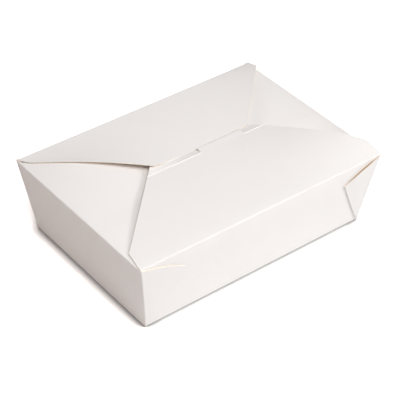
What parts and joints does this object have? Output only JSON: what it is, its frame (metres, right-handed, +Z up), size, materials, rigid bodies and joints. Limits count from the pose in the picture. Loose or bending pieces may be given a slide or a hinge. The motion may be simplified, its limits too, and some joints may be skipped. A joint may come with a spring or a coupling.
{
  "type": "takeout food box",
  "caption": "Folded white paperboard food box with tapered walls, folded webs at the corners and four top flaps, closed by a tab.",
  "frame": {"origin": "centre of the foot, on the surface the box stands on", "axes": "+X along the long walls, +Y from the front flap to the back flap, +Z up"},
  "size_m": [0.2164, 0.156, 0.0667],
  "materials": {
    "white_board": "matte"
  },
  "bodies": {
    "box": {"carton": "white_board"},
    "lid_flap": {"back_flap": "white_board"}
  },
  "joints": [
    {"name": "back_flap_fold", "type": "hinge", "parent": "box", "child": "lid_flap", "pos_m": [0, 0.07615, 0.062], "axis": [-1, 0, 0], "range_deg": [0, 210]}
  ]
}
